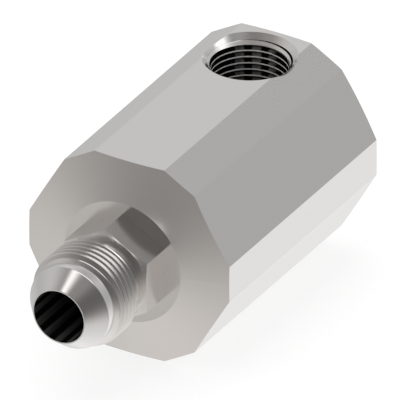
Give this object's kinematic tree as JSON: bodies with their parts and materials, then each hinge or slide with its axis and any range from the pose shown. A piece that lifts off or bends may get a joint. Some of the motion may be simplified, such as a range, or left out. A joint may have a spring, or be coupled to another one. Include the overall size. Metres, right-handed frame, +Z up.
{
  "type": "swivel elbow fitting",
  "caption": "Hydraulic live swivel elbow: a flared, threaded stem turns on ball rows in a block of cut-corner hexagon bar with a threaded side port.",
  "frame": {"origin": "on the flat that the block lies on, straight below the side port's axis", "axes": "+Z up, out of the side port; -Y along the stem, out of the nose; +X to the right, seen from the nose"},
  "size_m": [0.0482, 0.0919, 0.046],
  "materials": {
    "block_steel": "fine turned and milled, satin",
    "stem_steel": "fine turned, satin",
    "ball_steel": "polished",
    "hard_steel": "ground",
    "black_steel": "black oxide",
    "seal_rubber": "smooth",
    "wiper_urethane": "smooth",
    "backup_plastic": "smooth",
    "bearing_strip": "bronze filled, smooth"
  },
  "bodies": {
    "housing": {"block": "block_steel", "dust_wiper": "wiper_urethane", "wiper_ring": "seal_rubber", "front_guide_ring": "bearing_strip", "rear_guide_ring": "bearing_strip", "grease_seal": "seal_rubber", "pressure_seal": "seal_rubber", "front_backup_ring": "backup_plastic", "rear_backup_ring": "backup_plastic", "front_race_pin": "hard_steel", "rear_race_pin": "hard_steel", "front_race_plug": "black_steel", "rear_race_plug": "black_steel"},
    "spindle": {"stem": "stem_steel"},
    "front_row": {"front_ball_1": "ball_steel", "front_ball_2": "ball_steel", "front_ball_3": "ball_steel", "front_ball_4": "ball_steel", "front_ball_5": "ball_steel", "front_ball_6": "ball_steel", "front_ball_7": "ball_steel", "front_ball_8": "ball_steel", "front_ball_9": "ball_steel", "front_ball_10": "ball_steel", "front_ball_11": "ball_steel", "front_ball_12": "ball_steel", "front_ball_13": "ball_steel", "front_ball_14": "ball_steel", "front_ball_15": "ball_steel"},
    "rear_row": {"rear_ball_1": "ball_steel", "rear_ball_2": "ball_steel", "rear_ball_3": "ball_steel", "rear_ball_4": "ball_steel", "rear_ball_5": "ball_steel", "rear_ball_6": "ball_steel", "rear_ball_7": "ball_steel", "rear_ball_8": "ball_steel", "rear_ball_9": "ball_steel", "rear_ball_10": "ball_steel", "rear_ball_11": "ball_steel", "rear_ball_12": "ball_steel", "rear_ball_13": "ball_steel", "rear_ball_14": "ball_steel", "rear_ball_15": "ball_steel"}
  },
  "joints": [
    {"name": "stem_swivel", "type": "hinge", "parent": "housing", "child": "spindle", "pos_m": [0, -0.05321, 0.023], "axis": [0, 1, 0], "continuous": true},
    {"name": "front_row_roll", "type": "hinge", "parent": "housing", "child": "front_row", "pos_m": [0, -0.03901, 0.023], "axis": [0, 1, 0], "continuous": true},
    {"name": "rear_row_roll", "type": "hinge", "parent": "housing", "child": "rear_row", "pos_m": [0, -0.03051, 0.023], "axis": [0, 1, 0], "continuous": true}
  ],
  "couplings": [
    {"joint": "front_row_roll", "follows": "stem_swivel", "ratio": 0.3979},
    {"joint": "rear_row_roll", "follows": "stem_swivel", "ratio": 0.3979}
  ]
}
